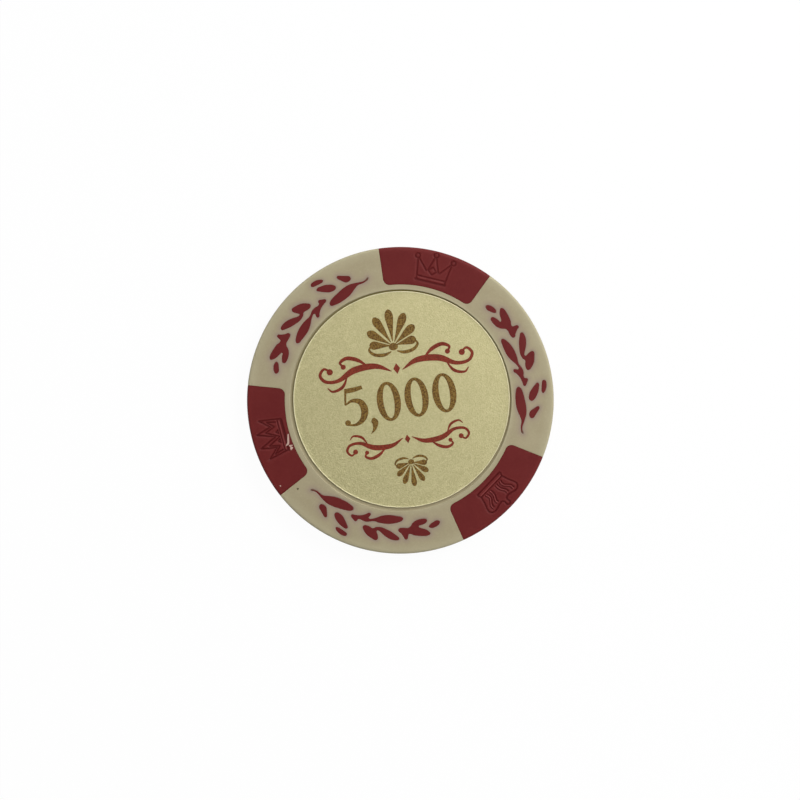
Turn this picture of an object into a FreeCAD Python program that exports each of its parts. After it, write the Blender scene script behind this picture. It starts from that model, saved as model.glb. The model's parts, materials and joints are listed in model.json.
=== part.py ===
import FreeCAD, Part
import Sketcher
import math
import os

# A composite poker chip. A stamped steel slug sits in the middle. A red moulding is shot round the slug,
# with three edge spots that go right through the chip and laurel sprigs that stand up to both faces.
# An ivory moulding is shot round the red one, and leaves a shallow round recess in each face for a label.
# Each label is a printed foil on a film of adhesive.
# Units are millimetres and degrees. The chip lies on z = 0, centred on the z axis, and its front is up.
# Angles turn anticlockwise from +x, seen from the front.

SIZES = {
    # the whole chip
    "chip_diameter": 40.0,
    "chip_thickness": 3.4,
    "rim_round": 0.35,
    # labels: the gap is round a centred label, and the sink is below the chip's face
    "label_gap": 0.38,
    "label_sink": 0.05,
    "foil_thickness": 0.1,
    "adhesive_thickness": 0.05,
    # hand-placed labels lie a little off centre
    "label_shift": 0.17,
    "front_shift_angle": 45.0,
    "back_shift_angle": 200.0,
    # red moulding: the hub holds the slug, and the web carries the spots and the leaves
    "hub_lap": 0.3,
    "hub_wall": 0.5,
    "hub_skin": 0.35,
    "web_cover": 0.9,
    "rim_wall": 0.65,
    # edge spots, from the rim in, and the ivory ring between them and the recess
    "spot_count": 3,
    "spot_angle": 44.0,
    "first_spot_angle": 76.0,
    "spot_length": 4.92,
    "spot_corner": 0.6,
    "ring_width": 0.6,
    # steel slug
    "slug_round": 0.3,
    # cutting tools run past the chip's faces and rim by this much
    "overrun": 1.0,
}

# Leaf outlines of one sprig, each a closed chain of arcs: an arc starts at one point, goes through the next
# and ends at the one after it. Of each pair, the first is a share of half the gap between two spots,
# clockwise from the gap's middle. The second is a share of the way from the spots' inner edge to the web's.
LEAF_SHARES = {
    "seed_pod": [
        (-0.835, 0.36), (-0.810, 0.42), (-0.765, 0.46), (-0.715, 0.46),
        (-0.690, 0.42), (-0.720, 0.36), (-0.765, 0.32), (-0.815, 0.31),
    ],
    "forked_leaf": [
        (-0.695, 0.63), (-0.670, 0.66), (-0.630, 0.66), (-0.565, 0.63), (-0.505, 0.59), (-0.460, 0.54),
        (-0.445, 0.55), (-0.440, 0.61), (-0.435, 0.68), (-0.420, 0.72), (-0.405, 0.66), (-0.385, 0.57),
        (-0.360, 0.49), (-0.335, 0.43), (-0.345, 0.38), (-0.375, 0.37), (-0.425, 0.38), (-0.460, 0.37),
        (-0.490, 0.31), (-0.515, 0.23), (-0.560, 0.17), (-0.610, 0.15), (-0.660, 0.16), (-0.685, 0.21),
        (-0.665, 0.27), (-0.630, 0.30), (-0.595, 0.32), (-0.570, 0.36), (-0.580, 0.40), (-0.610, 0.44),
        (-0.645, 0.48), (-0.675, 0.55),
    ],
    "paired_leaf": [
        (-0.325, 0.73), (-0.290, 0.73), (-0.245, 0.70), (-0.200, 0.64), (-0.160, 0.57), (-0.130, 0.51),
        (-0.105, 0.48), (-0.085, 0.50), (-0.085, 0.56), (-0.100, 0.63), (-0.110, 0.71), (-0.105, 0.78),
        (-0.085, 0.79), (-0.045, 0.75), (0.000, 0.70), (0.035, 0.63), (0.065, 0.54), (0.075, 0.47),
        (0.060, 0.43), (0.030, 0.43), (-0.010, 0.45), (-0.045, 0.47), (-0.065, 0.42), (-0.095, 0.40),
        (-0.150, 0.40), (-0.200, 0.44), (-0.255, 0.50), (-0.295, 0.57), (-0.330, 0.64), (-0.345, 0.69),
    ],
    "stem_leaf": [
        (-0.395, 0.08), (-0.375, 0.13), (-0.340, 0.17), (-0.290, 0.21), (-0.220, 0.24), (-0.140, 0.25),
        (-0.080, 0.24), (-0.030, 0.23), (0.010, 0.26), (0.050, 0.30), (0.105, 0.30), (0.150, 0.29),
        (0.170, 0.32), (0.170, 0.39), (0.180, 0.41), (0.205, 0.37), (0.240, 0.32), (0.255, 0.28),
        (0.240, 0.25), (0.190, 0.23), (0.150, 0.20), (0.110, 0.15), (0.070, 0.08), (0.040, 0.03),
        (0.025, 0.05), (0.035, 0.11), (0.050, 0.17), (0.035, 0.21), (0.000, 0.20), (-0.045, 0.15),
        (-0.085, 0.09), (-0.140, 0.03), (-0.200, 0.00), (-0.270, 0.00), (-0.330, 0.02), (-0.375, 0.04),
    ],
    "outer_pod": [
        (0.225, 0.93), (0.265, 0.94), (0.305, 0.91), (0.335, 0.87), (0.355, 0.82),
        (0.340, 0.80), (0.305, 0.80), (0.260, 0.82), (0.225, 0.84), (0.215, 0.88),
    ],
    "round_leaf": [
        (0.230, 0.68), (0.245, 0.71), (0.280, 0.70), (0.330, 0.67), (0.375, 0.61), (0.410, 0.55),
        (0.435, 0.47), (0.420, 0.41), (0.385, 0.40), (0.345, 0.42), (0.325, 0.45), (0.305, 0.49),
        (0.270, 0.57), (0.245, 0.64),
    ],
    "drop_leaf": [
        (0.490, 0.68), (0.505, 0.71), (0.525, 0.69), (0.565, 0.63), (0.605, 0.58), (0.630, 0.52),
        (0.625, 0.46), (0.595, 0.43), (0.560, 0.44), (0.540, 0.50), (0.520, 0.57), (0.500, 0.64),
    ],
    "tailed_leaf": [
        (0.255, 0.09), (0.270, 0.13), (0.305, 0.18), (0.355, 0.21), (0.425, 0.25), (0.495, 0.29),
        (0.550, 0.31), (0.580, 0.315), (0.610, 0.31), (0.660, 0.29), (0.715, 0.27), (0.760, 0.26),
        (0.795, 0.29), (0.815, 0.33), (0.830, 0.36), (0.825, 0.31), (0.800, 0.27), (0.765, 0.24),
        (0.725, 0.23), (0.690, 0.23), (0.655, 0.20), (0.610, 0.13), (0.560, 0.06), (0.495, 0.01),
        (0.425, -0.01), (0.355, -0.01), (0.295, 0.02), (0.265, 0.05),
    ],
}

# Sizes that follow from the driving ones, as formulas on the sheet, from the rim in
CHIP_RADIUS = "(sizes.chip_diameter / 2)"
WEB_RADIUS = f"({CHIP_RADIUS} - sizes.rim_wall)"
SPOT_INNER_RADIUS = f"({CHIP_RADIUS} - sizes.spot_length)"
RECESS_RADIUS = f"({SPOT_INNER_RADIUS} - sizes.ring_width)"
LABEL_RADIUS = f"({RECESS_RADIUS} - sizes.label_gap)"
HUB_RADIUS = f"({LABEL_RADIUS} - sizes.hub_lap)"
SLUG_RADIUS = f"({HUB_RADIUS} - sizes.hub_wall)"
RECESS_DEPTH = "(sizes.adhesive_thickness + sizes.foil_thickness + sizes.label_sink)"
HUB_THICKNESS = f"(sizes.chip_thickness - 2 * {RECESS_DEPTH})"
SLUG_THICKNESS = f"({HUB_THICKNESS} - 2 * sizes.hub_skin)"
WEB_THICKNESS = "(sizes.chip_thickness - 2 * sizes.web_cover)"
TOOL_RADIUS = f"({CHIP_RADIUS} + sizes.overrun)"
TOOL_HEIGHT = "(sizes.chip_thickness + 2 * sizes.overrun)"

FULL_TURN = 360.0
HALF_TURN = 180.0


def make_sheet(doc):
    """The driving dimensions, one row each: the name in column A and the value in column B."""
    sheet = doc.addObject("Spreadsheet::Sheet", "sizes")
    for row, (name, value) in enumerate(SIZES.items(), start=1):
        sheet.set(f"A{row}", name)
        sheet.set(f"B{row}", str(value))
        sheet.setAlias(f"B{row}", name)
    doc.recompute()


def value_of(doc, formula):
    """The number that a formula on the sheet gives now."""
    return float(doc.getObject("sizes").evalExpression(formula))


def new_body(doc, label):
    body = doc.addObject("PartDesign::Body", label)
    body.Label = label
    return body


def add_circle(body, name, radius, height=None):
    """A sketch of one circle round the body's z axis, on its XY plane or raised to a height."""
    plane = next(item for item in body.Origin.OriginFeatures if item.Role == "XY_Plane")
    sketch = body.newObject("Sketcher::SketchObject", name)
    sketch.AttachmentSupport = [(plane, "")]
    sketch.MapMode = "FlatFace"
    if height:
        sketch.setExpression("AttachmentOffset.Base.z", height)
    radius_now = value_of(body.Document, radius)
    sketch.addGeometry(Part.Circle(FreeCAD.Vector(), FreeCAD.Vector(0, 0, 1), radius_now), False)
    centre_of_circle, sketch_origin = (0, 3), (-1, 1)
    sketch.addConstraint(Sketcher.Constraint("Coincident", *centre_of_circle, *sketch_origin))
    radius_row = sketch.addConstraint(Sketcher.Constraint("Radius", 0, radius_now))
    sketch.renameConstraint(radius_row, "radius")
    sketch.setExpression("Constraints.radius", radius)
    return sketch


def add_disc(body, name, radius, thickness, height=None):
    """A round disc, padded up from a height."""
    pad = body.newObject("PartDesign::Pad", name)
    pad.Profile = add_circle(body, f"{name}_outline", radius, height)
    pad.setExpression("Length", thickness)
    return pad


def add_round_pocket(body, name, radius, depth, height, upwards):
    """A round pocket from a height, cut upwards or downwards."""
    pocket = body.newObject("PartDesign::Pocket", name)
    pocket.Profile = add_circle(body, f"{name}_outline", radius, height)
    pocket.setExpression("Length", depth)
    pocket.Reversed = upwards
    return pocket


def add_fillet(body, name, base, is_wanted, radius):
    """A fillet on those edges of the base that are wanted."""
    body.Document.recompute()
    edges = [f"Edge{row}" for row, edge in enumerate(base.Shape.Edges, start=1) if is_wanted(edge)]
    fillet = body.newObject("PartDesign::Fillet", name)
    fillet.Base = (base, edges)
    fillet.setExpression("Radius", radius)
    return fillet


def is_circle(edge):
    return isinstance(edge.Curve, Part.Circle)


def make_steel_slug(doc):
    """A blanked steel disc with tumbled edges, halfway up the chip."""
    body = new_body(doc, "steel_slug")
    disc = add_disc(body, "slug_disc", SLUG_RADIUS, SLUG_THICKNESS)
    add_fillet(body, "slug_edges", disc, is_circle, "sizes.slug_round")
    body.setExpression("Placement.Base.z", f"(sizes.chip_thickness - {SLUG_THICKNESS}) / 2")
    return body


def make_label_layer(doc, label, thickness, height, shift_angle):
    """One layer of a label: a disc, moved off the chip's centre as a hand-placed label is."""
    body = new_body(doc, label)
    add_disc(body, f"{label}_disc", LABEL_RADIUS, thickness)
    body.setExpression("Placement.Base.x", f"sizes.label_shift * cos({shift_angle} * 1 deg)")
    body.setExpression("Placement.Base.y", f"sizes.label_shift * sin({shift_angle} * 1 deg)")
    body.setExpression("Placement.Base.z", height)
    return body


def make_labels(doc):
    """A film of adhesive and a printed foil in each face's recess."""
    adhesive, foil = "sizes.adhesive_thickness", "sizes.foil_thickness"
    front, back = "sizes.front_shift_angle", "sizes.back_shift_angle"
    front_floor = f"(sizes.chip_thickness - {RECESS_DEPTH})"
    return [
        make_label_layer(doc, "front_label_adhesive", adhesive, front_floor, front),
        make_label_layer(doc, "front_label_foil", foil, f"{front_floor} + {adhesive}", front),
        make_label_layer(doc, "back_label_adhesive", adhesive, f"{RECESS_DEPTH} - {adhesive}", back),
        make_label_layer(doc, "back_label_foil", foil, "sizes.label_sink", back),
    ]


def make_chip_blank(doc):
    """The chip's outside, both colours together: a disc with a rounded rim and two label recesses."""
    body = new_body(doc, "chip_blank")
    disc = add_disc(body, "blank_disc", CHIP_RADIUS, "sizes.chip_thickness")
    add_fillet(body, "rim_rounds", disc, is_circle, "sizes.rim_round")
    add_round_pocket(body, "front_recess", RECESS_RADIUS, RECESS_DEPTH, "sizes.chip_thickness", False)
    add_round_pocket(body, "back_recess", RECESS_RADIUS, RECESS_DEPTH, None, True)
    return body


def make_hub_and_web(doc):
    """The hub round the slug, between the recesses, and the thinner web round the hub."""
    body = new_body(doc, "hub_and_web")
    add_disc(body, "hub", HUB_RADIUS, HUB_THICKNESS, RECESS_DEPTH)
    add_disc(body, "web", WEB_RADIUS, WEB_THICKNESS, "sizes.web_cover")
    return body


def make_spot_tools(doc):
    """One sector of a ring for each edge spot, taller and wider than the chip, with inner corners round."""
    body = new_body(doc, "spot_tools")
    body.AllowCompound = True
    sector = body.newObject("PartDesign::AdditiveCylinder", "spot_sector")
    sector.setExpression("Radius", TOOL_RADIUS)
    sector.setExpression("Height", TOOL_HEIGHT)
    sector.setExpression("Angle", "sizes.spot_angle")
    middle = body.newObject("PartDesign::SubtractiveCylinder", "spot_middle")
    middle.setExpression("Radius", SPOT_INNER_RADIUS)
    middle.setExpression("Height", TOOL_HEIGHT)

    inner_radius = value_of(doc, SPOT_INNER_RADIUS)
    nearness = value_of(doc, "sizes.spot_corner / 100")

    def is_inner_corner(edge):
        foot = edge.Vertexes[0].Point
        upright = isinstance(edge.Curve, Part.Line) and abs(edge.Curve.Direction.z) > 1 / 2
        return upright and abs(math.hypot(foot.x, foot.y) - inner_radius) < nearness

    corners = add_fillet(body, "spot_corners", middle, is_inner_corner, "sizes.spot_corner")
    doc.recompute()
    ring = body.newObject("PartDesign::PolarPattern", "spot_ring")
    ring.TransformMode = "Whole shape"
    ring.BaseFeature = corners
    ring.Axis = (next(item for item in body.Origin.OriginFeatures if item.Role == "Z_Axis"), [""])
    ring.Angle = FULL_TURN
    ring.setExpression("Occurrences", "sizes.spot_count")
    body.Tip = ring
    body.setExpression("Placement.Base.z", "-sizes.overrun")
    body.setExpression("Placement.Rotation.Angle", "sizes.first_spot_angle - sizes.spot_angle / 2")
    return body


def leaf_face(shares, middle_angle, half_gap, inner_radius, band):
    """A leaf's flat face at z = 0, inside a closed chain of arcs."""
    points = []
    for along, across in shares:
        angle = math.radians(middle_angle - along * half_gap)
        radius = inner_radius + across * band
        points.append(FreeCAD.Vector(radius * math.cos(angle), radius * math.sin(angle), 0))
    starts, middles = points[0::2], points[1::2]
    ends = starts[1:] + starts[:1]
    arcs = [Part.Arc(*three).toShape() for three in zip(starts, middles, ends)]
    return Part.Face(Part.Wire(arcs))


def make_leaves(doc):
    """The sprigs of both faces, one in each gap between spots, rooted inside the web."""
    inner_radius = value_of(doc, SPOT_INNER_RADIUS)
    band = value_of(doc, WEB_RADIUS) - inner_radius
    spot_count = int(value_of(doc, "sizes.spot_count"))
    pitch = FULL_TURN / spot_count
    half_gap = (pitch - value_of(doc, "sizes.spot_angle")) / 2
    first_spot = value_of(doc, "sizes.first_spot_angle")
    root_height = value_of(doc, f"sizes.chip_thickness / 2 + {WEB_THICKNESS} / 4")
    face_height = value_of(doc, "sizes.chip_thickness")
    rise = FreeCAD.Vector(0, 0, face_height - root_height)
    leaves = []
    for gap in range(spot_count):
        middle_angle = first_spot + (gap + 1 / 2) * pitch
        for shares in LEAF_SHARES.values():
            face = leaf_face(shares, middle_angle, half_gap, inner_radius, band)
            leaves.append(face.extrude(rise))

    front = doc.addObject("Part::Feature", "front_leaves")
    front.Shape = Part.makeCompound(leaves)
    front.Placement.Base.z = root_height
    # the back is the front turned over about the line through the first spot
    turning_line = FreeCAD.Vector(math.cos(math.radians(first_spot)), math.sin(math.radians(first_spot)), 0)
    back = doc.addObject("Part::Feature", "back_leaves")
    back.Shape = Part.makeCompound(leaves)
    back.Placement = FreeCAD.Placement(
        FreeCAD.Vector(0, 0, face_height - root_height), FreeCAD.Rotation(turning_line, HALF_TURN)
    )
    return front, back


def add_boolean(doc, kind, label, base, tool):
    """A Part::Cut or Part::Common of two objects."""
    result = doc.addObject(kind, label)
    result.Label = label
    result.Base = base
    result.Tool = tool
    return result


def make_mouldings(doc, steel_slug):
    """The red moulding round the slug, and the ivory moulding that fills the rest of the chip."""
    chip_blank = make_chip_blank(doc)
    spots = add_boolean(doc, "Part::Common", "spots", chip_blank, make_spot_tools(doc))
    core_solid = doc.addObject("Part::MultiFuse", "core_solid")
    core_solid.Shapes = [make_hub_and_web(doc), spots, *make_leaves(doc)]
    return [
        add_boolean(doc, "Part::Cut", "core_moulding", core_solid, steel_slug),
        add_boolean(doc, "Part::Cut", "body_moulding", chip_blank, core_solid),
    ]


def check_document(doc, pieces):
    """Stops if an object has failed, or if a piece isn't one valid solid."""
    failed = [item.Label for item in doc.Objects if {"Invalid", "Error"} & set(item.State)]
    if failed:
        raise RuntimeError(f"objects that failed: {failed}")
    for piece in pieces:
        shape = piece.Shape
        if shape.isNull() or not shape.isValid() or len(shape.Solids) != 1:
            raise RuntimeError(f"{piece.Label} isn't one valid solid")
        print(f"{piece.Label}: {shape.Volume:.2f} mm3, {len(shape.Faces)} faces")


def main():
    doc = FreeCAD.newDocument("poker_chip")
    make_sheet(doc)
    steel_slug = make_steel_slug(doc)
    pieces = [steel_slug, *make_mouldings(doc, steel_slug), *make_labels(doc)]
    doc.recompute()
    check_document(doc, pieces)
    os.makedirs("parts", exist_ok=True)
    for piece in pieces:
        piece.Shape.exportStep(f"parts/{piece.Label}.step")


main()
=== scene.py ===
import bpy
import bmesh
import json
import math
import numpy as np
from mathutils import Matrix, Vector
from mathutils.geometry import delaunay_2d_cdt


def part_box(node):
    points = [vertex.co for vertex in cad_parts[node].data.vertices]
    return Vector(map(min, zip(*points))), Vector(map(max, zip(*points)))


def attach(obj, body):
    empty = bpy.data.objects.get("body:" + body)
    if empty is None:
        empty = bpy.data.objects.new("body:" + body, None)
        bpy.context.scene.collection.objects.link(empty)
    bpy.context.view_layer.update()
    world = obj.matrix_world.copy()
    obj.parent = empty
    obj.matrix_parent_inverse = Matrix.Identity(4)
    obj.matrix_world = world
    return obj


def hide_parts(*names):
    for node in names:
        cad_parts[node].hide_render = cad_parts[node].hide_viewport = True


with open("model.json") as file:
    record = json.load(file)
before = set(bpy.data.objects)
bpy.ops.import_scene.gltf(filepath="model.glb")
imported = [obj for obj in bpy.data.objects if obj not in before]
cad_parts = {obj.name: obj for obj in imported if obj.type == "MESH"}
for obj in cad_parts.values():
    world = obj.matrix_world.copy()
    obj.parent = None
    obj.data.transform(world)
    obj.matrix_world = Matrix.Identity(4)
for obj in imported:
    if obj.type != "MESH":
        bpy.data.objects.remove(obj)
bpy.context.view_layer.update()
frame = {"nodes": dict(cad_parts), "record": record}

mm = 0.001  # shapes are worked out in millimetres and made in metres
fullTurn = 2 * math.pi
halfTurn = math.pi
quarterTurn = math.pi / 2


# A frame node's lowest and highest corners, in millimetres
def nodeBox(node):
    low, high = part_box(node)
    return np.array(low) / mm, np.array(high) / mm


# The chip's sizes. The outside comes from the frame, and what lies between the colours is named here.
rimDims = next(mount for mount in frame["record"]["mounts"] if mount["name"] == "rim")["dims"]
chip = {
    "radius": rimDims["r_mm"],
    "thickness": float(nodeBox("body_moulding")[1][2]),
    "recessFloor": float(nodeBox("front_label_adhesive")[0][2]),
    "recessRadius": 14.42,
    "hubRadius": 13.8,
    "webRadius": 19.35,
    "webCover": 0.9,
    "spotCount": 3,
    "firstSpot": math.radians(76),
    "spotHalfAngle": math.radians(22),
    "spotInner": 15.08,
    "spotCorner": 0.85,
}
faceHeight = chip["thickness"]
middleHeight = faceHeight / 2
webTop = faceHeight - chip["webCover"]
rimRound = (faceHeight - rimDims["length_mm"]) / 2
flatRadius = chip["radius"] - rimRound
roundEnd = flatRadius + rimRound * quarterTurn
middleReach = roundEnd + rimDims["length_mm"] / 2
spotTurn = fullTurn / chip["spotCount"]
spotAngles = [chip["firstSpot"] + fullTurn * turn / chip["spotCount"] for turn in range(chip["spotCount"])]

# How finely the moulded faces are cut up, in millimetres unless a count, a share or an angle
cutting = {
    "ringAngles": 720,
    "ringGap": 0.3,
    "seamGap": 0.07,
    "seamSteps": (0.03, 0.06, 0.1),
    "besideShare": 0.85,
    "carvedShare": 0.8,
    "clearOfSeam": 0.13,
    "clearOfLip": 0.03,
    "mergeGrid": 0.022,
    "sideCounts": (40, 4, 11, 14),
    "cornerCount": 14,
    "arcCount": 60,
    "onSeam": 1e-4,
    "netGrain": 1e-6,
    "weldGap": 2e-4,
    "sharpBend": math.radians(45),
    "pairsAtOnce": 2000000,
}

# What the mould and wear leave on the faces, and the strength of the painted highlight on the recess's lip
mouldMarks = {
    "seamDepth": 0.022,
    "seamWidth": 0.08,
    "shadeWidth": 0.11,
    "lipRound": 0.1,
    "lipFlat": 0.03,
    "leafSpread": 0.066,
    "bendReach": 3,
    "recessLipHighlight": 0.3,
    "partingHeight": 0.015,
    "partingWidth": 0.05,
    "waveHeight": 0.006,
    "waveLength": 5.0,
    "wavePhase": 5.0,
    "waves": ((0.3, 1.0), (1.4, 0.83), (2.5, 0.71), (3.3, 0.62)),  # direction, and share of the length
}
lipRadius = chip["recessRadius"] + mouldMarks["lipRound"] + mouldMarks["lipFlat"]


# A number held between nought and one
def held(share):
    return np.clip(share, 0, 1)


# Points at a radius and an angle: across by its cosine and up by its sine
def polar(radius, angle):
    return np.stack([radius * np.cos(angle), radius * np.sin(angle)], axis=-1)


# So many angles at even steps round a whole turn
def evenTurns(count):
    return fullTurn * np.arange(count) / count


# A face is worked out flat, with the rim unrolled round it. Reach is the distance from the axis over the
# surface: straight out to the flat's edge, then along the rim's quarter round, then down its straight wall.
def wrapRim(flat, inset):
    reach = np.linalg.norm(flat, axis=1)
    angle = np.arctan2(flat[:, 1], flat[:, 0])
    turn = np.clip((reach - flatRadius) / rimRound, 0, quarterTurn)
    down = np.maximum(reach - roundEnd, 0)
    radius = np.minimum(reach, flatRadius) + (rimRound - inset) * np.sin(turn)
    height = faceHeight - rimRound - down + (rimRound - inset) * np.cos(turn)
    return np.column_stack([polar(radius, angle), height])


# The back is the front turned over, half a turn about the level line through the first spot. A point goes to
# twice its foot on the line less itself, and its height is taken from the thickness.
def turnOver(points):
    hinge = np.array([math.cos(chip["firstSpot"]), math.sin(chip["firstSpot"])])
    along = points[:, :2] @ hinge
    return np.column_stack([2 * along[:, None] * hinge - points[:, :2], faceHeight - points[:, 2]])


# A label's middle and radius, as seen from its own side: its box's middle, and half its box's width
def labelCircle(node, back):
    low, high = nodeBox(node)
    middle = (low + high) / 2
    return (turnOver(middle[None])[0] if back else middle)[:2], (high[0] - low[0]) / 2


# The distance from each point to a chain of straight pieces, no more than far: the least of those to its
# foot on each piece, which is held between the piece's ends
def distanceTo(points, chain, far=0.6):
    starts, runs = chain[:-1], np.diff(chain, axis=0)
    result = np.full(len(points), far)
    inside = (points > chain.min(axis=0) - far) & (points < chain.max(axis=0) + far)
    near = np.flatnonzero(inside.all(axis=1))
    for block in np.array_split(near, len(near) * len(starts) // cutting["pairsAtOnce"] + 1):
        gaps = points[block][:, None, :] - starts
        share = held((gaps * runs).sum(axis=2) / (runs * runs).sum(axis=1))
        result[block] = np.linalg.norm(gaps - share[..., None] * runs, axis=2).min(axis=1, initial=far)
    return result


# The least distance from each point to any of some chains
def nearest(points, chains):
    return np.min([distanceTo(points, chain) for chain in chains], axis=0)


# An outline with its first point again at its end
def closeLoop(points):
    return np.vstack([points, points[:1]])


# Points at even steps along a chain, read off at equal shares of its length
def evenSteps(chain, step):
    along = np.concatenate([[0], np.cumsum(np.linalg.norm(np.diff(chain, axis=0), axis=1))])
    stops = np.linspace(0, along[-1], max(2, int(round(along[-1] / step)) + 1))
    return np.column_stack([np.interp(stops, along, chain[:, axis]) for axis in range(2)])


# A chain's normals: the way it runs at each point, turned a quarter to the left and made one long
def leftNormals(chain):
    ahead = np.gradient(chain, axis=0)
    return np.column_stack([-ahead[:, 1], ahead[:, 0]]) / np.linalg.norm(ahead, axis=1)[:, None]


# Points to both sides of a chain, moved along its normals by each of some steps
def besideChain(chain, steps):
    normal = leftNormals(chain)
    return np.vstack([chain + side * step * normal for step in steps for side in (-1, 1)])


# A smooth curve through a few points: on each span, the cubic whose ends head along the neighbours' chord
def curveThrough(points, stepsPerSpan=10, closed=False):
    points = np.array(points, float)
    if closed:
        points = np.vstack([points[-1:], points, points[:2]])
    else:
        points = np.vstack([2 * points[0] - points[1], points, 2 * points[-1] - points[-2]])
    share = np.linspace(0, 1, stepsPerSpan, endpoint=False)[None, :, None]
    before, first, second, after = (points[start:len(points) - 3 + start, None] for start in range(4))
    spans = first + share * (second - before) / 2
    spans = spans + share ** 2 * (before - 2.5 * first + 2 * second - 0.5 * after)
    spans = spans + share ** 3 * (-0.5 * before + 1.5 * first - 1.5 * second + 0.5 * after)
    curve = spans.reshape(-1, points.shape[1])
    return curve if closed else np.vstack([curve, points[-2:-1]])


# The edges of triangles over so many points that no other triangle runs along the other way
def borderEdges(triangles, count):
    edges = np.vstack([triangles[:, [0, 1]], triangles[:, [1, 2]], triangles[:, [2, 0]]])
    return edges[~np.isin(edges[:, 0] * count + edges[:, 1], edges[:, 1] * count + edges[:, 0])]


# Leaf outlines: the edges of the red moulding's faces that lie in the front plane, inside the web's edge
def readLeafOutlines():
    mesh = frame["nodes"]["core_moulding"].data
    places = np.zeros(len(mesh.vertices) * 3, np.float32)
    mesh.vertices.foreach_get("co", places)
    corners = np.zeros(len(mesh.loops), np.int32)
    mesh.loops.foreach_get("vertex_index", corners)
    places = places.reshape(-1, 3).astype(float) / mm
    micron = 0.001
    unique, index = np.unique(np.round(places / micron).astype(np.int64), axis=0, return_inverse=True)
    places, triangles = unique * micron, index.reshape(-1)[corners].reshape(-1, 3)
    front = triangles[(places[triangles][:, :, 2] > faceHeight - 2 * micron).all(axis=1)]
    following = dict(borderEdges(front, len(places)).tolist())
    outlines = []
    while following:
        loop = [min(following)]
        while loop[-1] in following:
            loop.append(following.pop(loop[-1]))
        outline = places[loop[:-1]][:, :2]
        if np.linalg.norm(outline, axis=1).max() < chip["webRadius"]:
            outlines.append(outline)
    return outlines


# Each point of a loop averaged with its two neighbours, which count half as much
def averaged(loop):
    return (np.roll(loop, 1, axis=0) + 2 * loop + np.roll(loop, -1, axis=0)) / 4


# A leaf's outline at even steps, smoothed once, and then moved out along its normals, as far as the ivory
# that lapped over the leaf's edge was worn back. It moves less the more it bends, so the tips stay pointed.
def softenOutline(outline):
    loop = averaged(evenSteps(closeLoop(outline), cutting["seamGap"])[:-1])
    ahead = np.roll(loop, -1, axis=0) - np.roll(loop, 1, axis=0)
    outward = np.column_stack([ahead[:, 1], -ahead[:, 0]]) / np.linalg.norm(ahead, axis=1)[:, None]
    apart = mouldMarks["bendReach"]
    before, after = loop - np.roll(loop, apart, axis=0), np.roll(loop, -apart, axis=0) - loop
    turn = np.arctan2(before[:, 0] * after[:, 1] - before[:, 1] * after[:, 0], (before * after).sum(axis=1))
    bend = averaged(averaged(held(turn / quarterTurn)))[:, None]
    spread = loop + mouldMarks["leafSpread"] * (1 - bend) * outward
    return evenSteps(closeLoop(spread), cutting["seamGap"])[:-1]


leafOutlines = [softenOutline(outline) for outline in readLeafOutlines()]
print("leaf outlines read from the frame:", len(leafOutlines))

# The stations along a spot's straight side, from the corner's end out to the rim's middle: over the web,
# over the ledge beyond it, round the rim's quarter and down its wall
webCount, ledgeCount, roundCount, wallCount = cutting["sideCounts"]
cornerReach = chip["spotInner"] + chip["spotCorner"]
cornerSlip = math.asin(chip["spotCorner"] / cornerReach)
sideStart = math.sqrt(cornerReach ** 2 - chip["spotCorner"] ** 2)
innerStations = np.linspace(sideStart, chip["webRadius"], webCount)
outerStations = np.concatenate([
    np.linspace(chip["webRadius"], flatRadius, ledgeCount)[:-1],
    np.linspace(flatRadius, roundEnd, roundCount)[:-1],
    np.linspace(roundEnd, middleReach, wallCount),
])
outerCount = len(outerStations)


# One spot's seam, counter-clockwise: from the rim's middle in along the left side, across the inner edge and
# out along the right. It is two straight sides, two round corners and a circle's arc about the axis.
def spotSeam(middleAngle):
    half = chip["spotHalfAngle"]
    side = polar(np.concatenate([innerStations[:-1], outerStations]), half)
    cornerMiddle = polar(cornerReach, half - cornerSlip)
    sweep = np.linspace(half - cornerSlip + halfTurn, half + quarterTurn, cutting["cornerCount"])[1:-1]
    corner = cornerMiddle + polar(chip["spotCorner"], sweep)
    arc = polar(chip["spotInner"], np.linspace(0, half - cornerSlip, cutting["arcCount"]))
    left = np.vstack([arc, corner, side])
    seam = np.vstack([left[::-1], (left * [1, -1])[1:]])
    return seam @ np.array([[math.cos(middleAngle), math.sin(middleAngle)],
                            [-math.sin(middleAngle), math.cos(middleAngle)]])


spotSeams = [spotSeam(angle) for angle in spotAngles]
ringTurns = evenTurns(cutting["ringAngles"])


# The angles of the ring's samples from one angle to another, both among them
def turnsBetween(first, last):
    return np.linspace(first, last, int(round((last - first) * cutting["ringAngles"] / fullTurn)) + 1)


# A spot's seam, closed along a circle from its one end to the other
def closeSeam(seam, middleAngle, radius):
    turns = turnsBetween(middleAngle - chip["spotHalfAngle"], middleAngle + chip["spotHalfAngle"])
    return np.vstack([seam, polar(radius, turns[1:-1])])


spotOutlines = [closeSeam(seam, angle, middleReach) for seam, angle in zip(spotSeams, spotAngles)]
seamChains = [*spotSeams, *[closeLoop(outline) for outline in leafOutlines]]

# Carved crowns, one to a spot. Each is drawn upright: x is to the right and y is the distance from the axis.
carving = {
    "depth": 0.07,
    "halfWidth": 0.092,
    "lipHeight": 0.014,
    "lipPlace": 0.21,
    "lipWidth": 0.06,
    "barHeight": 0.03,
    "barWidth": 0.06,
    "dish": 0.035,
    "dishWidth": 0.6,
    "shadeCurve": 1.3,
    # painted highlights on the raised bars and on the lips beside the grooves
    "barHighlight": 0.8,
    "grooveLipHighlight": 0.15,
    "steps": (0.0, 0.035, 0.07, 0.11, 0.155, 0.2, 0.25),
    "grooveShares": (0.82, 1.0, 1.0),  # one to a crown, as are the next
    "barShares": (0.5, 1.0, 1.0),
}


# A stroke of straight pieces
def line(*points):
    return np.array(points, float)


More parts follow.
